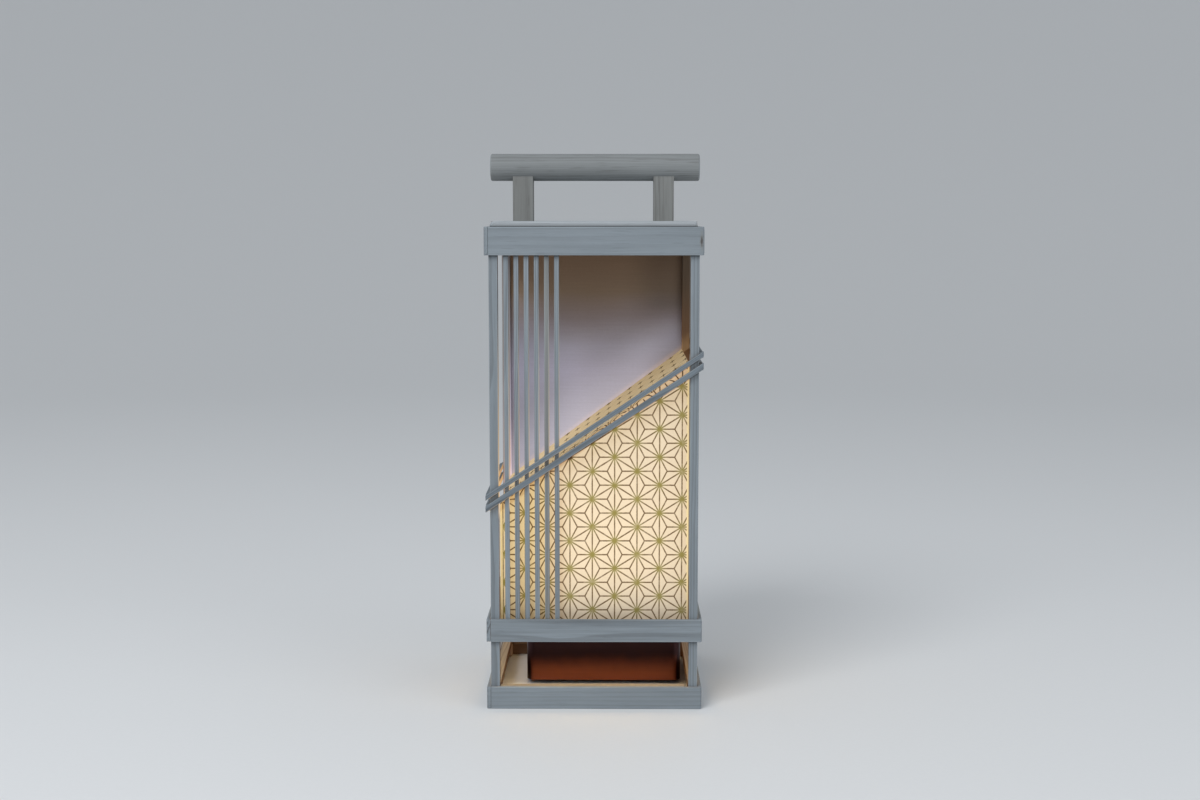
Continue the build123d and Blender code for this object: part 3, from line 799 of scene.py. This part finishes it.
def lit_paper(name, strength, on_top, heart_ink):
    """Printed paper, lit from inside by the light that the glow attribute gives each place, with
    painted shade along the front fold and painted shadows right under the sash strips.
    """
    paint = Painter(name)
    ink, heart, to_fold = print_ink(paint, on_top)
    place = paint.coords()
    fibres = paint.noise(place, (700, 700, 700), 4.0, 0.7)
    cloud = paint.noise(place, (60, 60, 60), 3.0)
    looks_front = paint.math("LESS_THAN", paint.split(paint.facing())[1], -0.5)
    # painted shade along the fold between the front wall and the top
    if on_top:
        fold_shade_share = paint.smooth(to_fold, *FOLD_SHADE_REACH, 1.0, 0.0)
        hue = paint.filtered(TOP_GLOW, paint.smooth(to_fold, 0.0, *TOP_FRONT_GLOW, 1.0))
    else:
        under_top = paint.minus(0.0, above_shade(paint, place))
        fold_shade_share = paint.times(paint.smooth(under_top, *FOLD_SHADE_REACH, 1.0, 0.0), looks_front)
        behind_slats = paint.smooth(paint.split(place)[0], *SLAT_GLOW_REACH, 1.0, 0.0)
        hue = paint.mix(paint.times(behind_slats, looks_front), GLOW, SLAT_GLOW)
        hue = paint.mix(paint.smooth(to_fold, RIM_REACH / 2, RIM_REACH), RIM_GLOW, hue)
    inked = paint.mix(fold_shade_share, paint.mix(heart, LINE_INK, heart_ink), FOLD_SHADE_INK)
    sheet = paint.tint(paint.mix(ink, WHITE, inked), fibres, 0.10)
    sheet = paint.tint(sheet, cloud, 0.05)
    sheet = paint.dimmed(sheet, fold_shade_share, FOLD_SHADE)
    base = paint.filtered(sheet, TOP_BASE if on_top else WALL_BASE)
    light = paint.filtered(paint.filtered(sheet, hue), paint.attribute("glow"))
    # painted shadows right under the sash strips
    if not on_top:
        for level in ("upper", "lower"):
            below, above = below_sash(paint, place, level)
            under = paint.smooth(below, *SASH_SHADE_REACH, 1.0, 0.0)
            under = paint.math("SUBTRACT", under, above, clamp=True)
            light = paint.dimmed(light, paint.times(under, looks_front), SASH_SHADE)
    return paint.shade(
        Base_Color=base, Roughness=0.8, Normal=paint.bump(fibres, 0.08 * mm, 0.5),
        Specular_IOR_Level=0.25, Emission_Color=light, Emission_Strength=strength)


def lining_paper():
    """The unprinted inner side of the sheet, which the lamp lights."""
    paint = Painter("paper_lining")
    fibres = paint.noise(paint.coords(), (700, 700, 700), 4.0, 0.7)
    return paint.shade(
        Base_Color=paint.tint(LINING_BASE, fibres, 0.05), Roughness=0.85,
        Emission_Color=paint.filtered(GLOW, paint.attribute("glow")),
        Emission_Strength=LINING_GLOW_STRENGTH)


def glow_at(point, normal, front_distance):
    """Share of the brightest light on the front wall that reaches the paper here. The lamp is
    flat and faces up."""
    ray = point - LAMP
    rise = max(ray.z, 0.0)
    facing = max(ray.dot(normal), 0.0)
    # On the front wall, direct light is strongest at a rise of front_distance / sqrt(3).
    brightest = 9 / (16 * math.sqrt(3)) / front_distance ** 2
    direct = rise * facing / ray.length ** 4 / brightest
    direct = direct / (1 - DIRECT_EVENED + DIRECT_EVENED * direct)
    cavity = 1 - (1 - CAVITY_FLOOR) * math.exp(-rise / CAVITY_RISE)
    return CAVITY_SHARE * cavity + (1 - CAVITY_SHARE) * direct


def wall_of(normal):
    """Which wall of the shade a face belongs to."""
    if normal.z > 0.5:
        return "top"
    if abs(normal.y) > abs(normal.x):
        return "front" if normal.y < 0 else "back"
    return "right" if normal.x > 0 else "left"


def print_place(point, wall, low, high):
    """Where a point lies on the flat printed sheet. The walls are one strip; on the top the
    print's columns run up the slope."""
    along = point.y - low.y
    if wall == "front":
        return point.x, point.z
    if wall == "right":
        return high.x + along, point.z
    if wall == "left":
        return low.x - along, point.z
    if wall == "back":
        return high.x + (high.y - low.y) + (high.x - point.x), point.z
    climb = (point.x - low.x) / math.cos(SLOPE)
    return STAR_U + along - TOP_STAR_DEPTH, STAR_V + climb - TOP_STAR_CLIMB


def folded_box(low, high):
    """The shade's four walls and slanting top, open below, with rounded folds."""
    shell = bmesh.new()
    rings = []
    for y in (low.y, high.y):
        outline = ((low.x, low.z), (high.x, low.z),
                   (high.x, roof_height(high.x)), (low.x, roof_height(low.x)))
        rings.append([shell.verts.new((x, y, z)) for x, z in outline])
    front, back = rings
    shell.faces.new(front)
    shell.faces.new(back[::-1])
    for start in (1, 2, 3):
        after = (start + 1) % 4
        shell.faces.new((front[start], back[start], back[after], front[after])[::-1])
    bmesh.ops.recalc_face_normals(shell, faces=shell.faces)
    folds = [e for e in shell.edges if len(e.link_faces) == 2]
    bmesh.ops.bevel(shell, geom=folds, offset=FOLD_RADIUS, segments=3, profile=0.5, affect="EDGES")
    return shell


def cut(shell, place, direction):
    geometry = [*shell.verts, *shell.edges, *shell.faces]
    bmesh.ops.bisect_plane(shell, geom=geometry, plane_co=place, plane_no=direction)


def cut_grid(shell, low, high):
    """Divides the sheet evenly, and finely next to the folds that round_roof makes softer."""
    for axis in range(3):
        count = round((high[axis] - low[axis]) / PAPER_GRID)
        direction = Vector([float(k == axis) for k in range(3)])
        for step in range(1, count):
            cut(shell, direction * (low[axis] + (high[axis] - low[axis]) * step / count), direction)
    roof, backwards = Vector((-math.sin(SLOPE), 0, math.cos(SLOPE))), Vector((0, 1, 0))
    for step in range(1, ROOF_CUTS + 1):
        depth = ROOF_ROUND * step / ROOF_CUTS
        cut(shell, Vector((SHADE_LOW.x, 0, SHADE_LEFT_TOP)) - roof * depth, roof)
        cut(shell, backwards * (low.y + depth), backwards)
        cut(shell, backwards * (high.y - depth), backwards)
    shell.normal_update()


def cockle(shell):
    """Damp-dried paper: the walls wander inwards between their folds."""
    for vertex in shell.verts:
        p = vertex.co
        to_sides = (p.x - SHADE_LOW.x, SHADE_HIGH.x - p.x, p.y - SHADE_LOW.y, SHADE_HIGH.y - p.y,
                    roof_height(p.x) - p.z)
        to_fold = sorted(to_sides)[1]  # the nearest side is the point's own
        from_fold = min(to_fold / COCKLE_REACH, 1.0)
        swell = 0.5 + 0.5 * noise.noise(p * 28)
        vertex.co = p - vertex.normal * (PAPER_COCKLE * from_fold * swell)


def round_roof(shell, low, high):
    """Turns the corner between the slanting top and the front and back walls into an arc."""
    for vertex in shell.verts:
        p = vertex.co
        in_front = p.y - low.y < high.y - p.y
        from_wall = p.y - low.y if in_front else high.y - p.y
        under = (roof_height(p.x) - p.z) * math.cos(SLOPE)
        if max(from_wall, under) >= ROOF_ROUND:
            continue
        reach = ROOF_ROUND - min(from_wall, under)
        angle = (1 + (from_wall - under) / reach) * math.pi / 4
        from_wall = ROOF_ROUND - reach * math.cos(angle)
        under = ROOF_ROUND - reach * math.sin(angle)
        p.y = low.y + from_wall if in_front else high.y - from_wall
        p.z = roof_height(p.x) - under / math.cos(SLOPE)


def paper_shade():
    """Four walls and a slanting top folded from one sheet, slightly cockled, open below."""
    swell = Vector((PAPER_SWELL, PAPER_SWELL, 0))
    low, high = SHADE_LOW - swell, SHADE_HIGH + swell
    shell = folded_box(low, high)
    cut_grid(shell, low, high)
    sheet = shell.loops.layers.uv.new("print")
    for face in shell.faces:
        wall = wall_of(face.normal)
        face.material_index = 1 if wall == "top" else 0
        face.smooth = True
        for corner in face.loops:
            corner[sheet].uv = print_place(corner.vert.co, wall, SHADE_LOW, SHADE_HIGH)
    cockle(shell)
    round_roof(shell, low, high)
    shell.normal_update()
    glow = shell.verts.layers.float.new("glow")
    front_distance = LAMP.y - low.y
    for vertex in shell.verts:
        vertex[glow] = glow_at(vertex.co, vertex.normal, front_distance)
    mesh = bpy.data.meshes.new("paper_shade_sheet")
    shell.to_mesh(mesh)
    shell.free()
    piece = new_piece("paper_shade_sheet", mesh, "lantern_frame",
                      lit_paper("paper_walls", WALL_GLOW_STRENGTH, False, HEART_INK))
    mesh.materials.append(lit_paper("paper_top", TOP_GLOW_STRENGTH, True, TOP_HEART_INK))
    mesh.materials.append(lining_paper())
    thick = piece.modifiers.new("sheet", "SOLIDIFY")
    thick.thickness = PAPER_SHEET
    thick.offset = -1
    thick.material_offset = 2
    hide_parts("paper_shade")


# ---- White board ----
def panel_paper(low, high):
    """White paper with painted shade, darker and warmer towards the top, and the slanting top's
    painted light falling on it.
    """
    paint = Painter("white_panel")
    place = paint.coords()
    across, depth, height = paint.split(place)
    laid = paint.noise(place, (30, 30, 900))
    fibres = paint.noise(place, (500, 500, 500), 4.0, 0.65)
    cloud = paint.noise(place, (14, 14, 22), 3.0)
    level = paint.line(paint.minus(cloud, 0.5), PANEL_FALLOFF_WANDER, height)
    tone = paint.ramp(paint.smooth(level, PANEL_FALLOFF_START, high.z), PANEL_FALLOFF_TONES)
    for (start, end, share), (without, with_it) in PANEL_SHADES:
        darker = paint.times(paint.smooth(across, start, end, 0.0, 1 - share),
                             paint.smooth(height, without, with_it))
        tone = paint.filtered(tone, paint.minus(1.0, darker))
    behind = paint.math("GREATER_THAN", depth, (low.y + high.y) / 2)
    tone = paint.mix(behind, tone, PANEL_BACK)
    tone = paint.tint(paint.tint(tone, laid, 0.07), fibres, 0.07)

    above = above_shade(paint, place)
    start, end, share = PANEL_GLOW_RIGHT
    near = paint.times(paint.smooth(above, 0.0, PANEL_GLOW_REACH, 1.0, 0.0),
                       paint.smooth(across, start, end, 1.0, share))
    near = paint.mix(near, BLACK, PANEL_GLOW)
    rim = paint.mix(paint.smooth(above, 0.0, PANEL_RIM_REACH), PANEL_RIM_GLOW, BLACK)
    glow = paint.mix(behind, paint.mix(1.0, near, rim, "ADD"), BLACK)
    return paint.shade(
        Base_Color=tone, Roughness=0.75, Normal=paint.bump(fibres, 0.06 * mm, 0.4),
        Specular_IOR_Level=0.25, Emission_Color=glow, Emission_Strength=1.0)


def back_panel():
    """White paper-faced board, close between the back posts."""
    low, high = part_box("back_panel")
    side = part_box("post_back_left")[1].x
    rings = []
    for distance in stations(high.z - low.z, EASE, EASE):
        outline = section(side, -side, low.y, high.y, PANEL_ROUND)
        rings.append([Vector((x, y, low.z + distance)) for x, y, _ in outline])
    mesh = closed_mesh("back_panel_board", rings, [0.0] * sum(map(len, rings)))
    piece = new_piece("back_panel_board", mesh, "lantern_frame", panel_paper(low, high))
    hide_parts("back_panel")


# ---- Light unit and fasteners ----
def metal(name, colour, roughness, brushed, smudge, case_shade=None):
    """Bare metal, brushed, with faint smudges. tarnish is a darker colour of painted shade that it
    turns to upwards between two heights, and round its upright corners."""
    paint = Painter(name)
    place = paint.coords()
    lines = paint.noise(place, brushed, 3.0, 0.6)
    cloud = paint.noise(place, (60, 60, 60), 4.0)
    if case_shade:
        dark, *heights = case_shade
        height = paint.line(cloud, CASE_SHADE_WANDER, paint.split(place)[2])
        aside = paint.math("ABSOLUTE", paint.split(paint.facing())[0])
        corner = paint.times(paint.smooth(aside, 0.28, 0.62), paint.smooth(aside, 0.93, 0.99, 1.0, 0.0))
        upwards = paint.smooth(height, *(edge + CASE_SHADE_WANDER / 2 for edge in heights))
        colour = paint.mix(paint.larger(upwards, corner), colour, dark)
    tone = paint.tint(paint.tint(colour, lines, 0.10), cloud, smudge)
    rough = paint.line(cloud, 0.18, roughness - 0.09)
    return paint.shade(Base_Color=tone, Metallic=1.0, Roughness=rough,
                       Normal=paint.bump(lines, 0.02 * mm, 0.35))


def plastic(name, colour, roughness, grain=900, variation=0.05):
    """Moulded plastic or rubber with a fine sparked grain."""
    paint = Painter(name)
    place = paint.coords()
    texture = paint.noise(place, (grain, grain, grain), 3.0)
    cloud = paint.noise(place, (40, 40, 40), 3.0)
    tone = paint.tint(paint.tint(colour, texture, variation), cloud, variation)
    return paint.shade(Base_Color=tone, Roughness=roughness, Normal=paint.bump(texture, 0.03 * mm, 0.5))


def milky(name):
    """The lit diffuser, brightest over its ring of LEDs."""
    paint = Painter(name)
    place = paint.coords()
    middle = paint.vector("SUBTRACT", place, tuple(LAMP))
    from_middle = paint.length(paint.vector("MULTIPLY", middle, (1, 1, 0)))
    light = paint.filtered(DIFFUSER_LIGHT, paint.smooth(from_middle, *DIFFUSER_FADE))
    light = paint.tint(light, paint.noise(place, (300, 300, 300), 3.0), 0.04)
    return paint.shade(Base_Color=DIFFUSER_WHITE, Roughness=0.35, Emission_Color=light,
                       Emission_Strength=LAMP_STRENGTH)


def circuit(name):
    """Green solder mask with copper tracks showing through."""
    paint = Painter(name)
    tracks = paint.noise(paint.coords(), (420, 420, 1), 0.0)
    line = paint.smooth(paint.math("ABSOLUTE", paint.minus(tracks, 0.5)), 0.01, 0.03, 1.0, 0.0)
    tone = paint.mix(line, MASK_GREEN, TRACK_GREEN)
    return paint.shade(Base_Color=tone, Roughness=0.35, Normal=paint.bump(line, 0.03 * mm, 0.6))


def give(material, *nodes):
    for node in nodes:
        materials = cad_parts[node].data.materials
        for index in range(len(materials)):
            materials[index] = material


def light_unit():
    """The light unit's own pieces, and the small fasteners of the whole lantern."""
    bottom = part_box("light_case")[0].z
    give(metal("copper_case", COPPER, 0.36, (25, 900, 900), 0.12,
               case_shade=(COPPER_SHADE, bottom + CASE_SHADE_START, bottom + CASE_SHADE_END)), "light_case")
    give(plastic("base_plastic", BASE_BLACK, 0.5), "light_base")
    give(plastic("button_plastic", BUTTON_WHITE, 0.4), "power_button")
    give(plastic("cell_wrap", CELL_BLUE, 0.3, 300), "battery_cell_front", "battery_cell_back")
    give(circuit("circuit_board"), "control_board", "led_board")
    give(metal("socket_steel", SOCKET_STEEL, 0.3, (900, 30, 900), 0.05), "charge_socket")
    give(milky("milky_diffuser"), "diffuser")
    give(plastic("black_rubber", RUBBER_BLACK, 0.75, 700), "rubber_feet")
    give(metal("zinc_steel", ZINC_STEEL, 0.35, (700, 700, 700), 0.10),
         "case_screws", "handle_screws", "lid_brads")
    give(wood("peg_wood", "Z", 95, ring=1.0), "handle_pegs")


# ---- Studio ----
def studio_floor():
    """A pale floor that curves up into a pale backdrop all round."""
    profile = [(0.0, 0.0), (0.5, 0.0), (1.2, 0.0)]
    for step in range(BOWL_STEPS + 1):
        share = step / BOWL_STEPS
        profile.append((FLOOR_REACH + BOWL_REACH * share, BOWL_RISE * share ** 2))
    rows = len(profile)
    points, faces = [], []
    for step in range(BOWL_SIDES):
        angle = step * 2 * math.pi / BOWL_SIDES
        points += [(r * math.cos(angle), r * math.sin(angle), z) for r, z in profile]
        after = (step + 1) % BOWL_SIDES
        for row in range(rows - 1):
            faces.append((step * rows + row, after * rows + row,
                          after * rows + row + 1, step * rows + row + 1))
    mesh = bpy.data.meshes.new("studio_floor")
    mesh.from_pydata(points, [], faces)
    mesh.shade_smooth()
    paint = Painter("studio_paper")
    tone = paint.tint(STUDIO_PAPER, paint.noise(paint.coords(), (300, 300, 300), 3.0), 0.015)
    mesh.materials.append(paint.shade(Base_Color=tone, Roughness=0.55, Specular_IOR_Level=0.3))
    floor = add_object("studio_floor", mesh)


def studio_light():
    """Even light from all round, and two soft lamps from the front."""
    world = bpy.data.worlds.new("studio_air")
    world.use_nodes = True
    air = world.node_tree.nodes["Background"]
    air.inputs["Color"].default_value = (*AIR_COLOUR, 1)
    air.inputs["Strength"].default_value = AIR_STRENGTH
    bpy.context.scene.world = world
    for name, place, size, power, colour in SOFTBOXES:
        lamp = bpy.data.lights.new(name, "AREA")
        lamp.shape, lamp.size, lamp.energy, lamp.color = "SQUARE", size, power, colour
        holder = add_object(name, lamp)
        holder.location = place
        holder.rotation_euler = (SOFTBOX_AIM - Vector(place)).to_track_quat("-Z", "Y").to_euler()


def camera():
    data = bpy.data.cameras.new("photo_camera")
    data.lens, data.sensor_width = CAMERA_LENS, CAMERA_SENSOR
    data.clip_start, data.clip_end = 0.05, 30
    eye = add_object("photo_camera", data)
    eye.location = CAMERA_PLACE
    eye.rotation_euler = (math.radians(90 - CAMERA_PITCH), 0, math.radians(CAMERA_YAW))
    bpy.context.scene.camera = eye


camera()
studio_floor()
studio_light()
frame_sticks()
slats()
sash()
lid_board(LID_LOW, LID_HIGH)
handle_posts()
handle_bar()
paper_shade()
back_panel()
light_unit()
bpy.context.scene.view_settings.view_transform = "Standard"
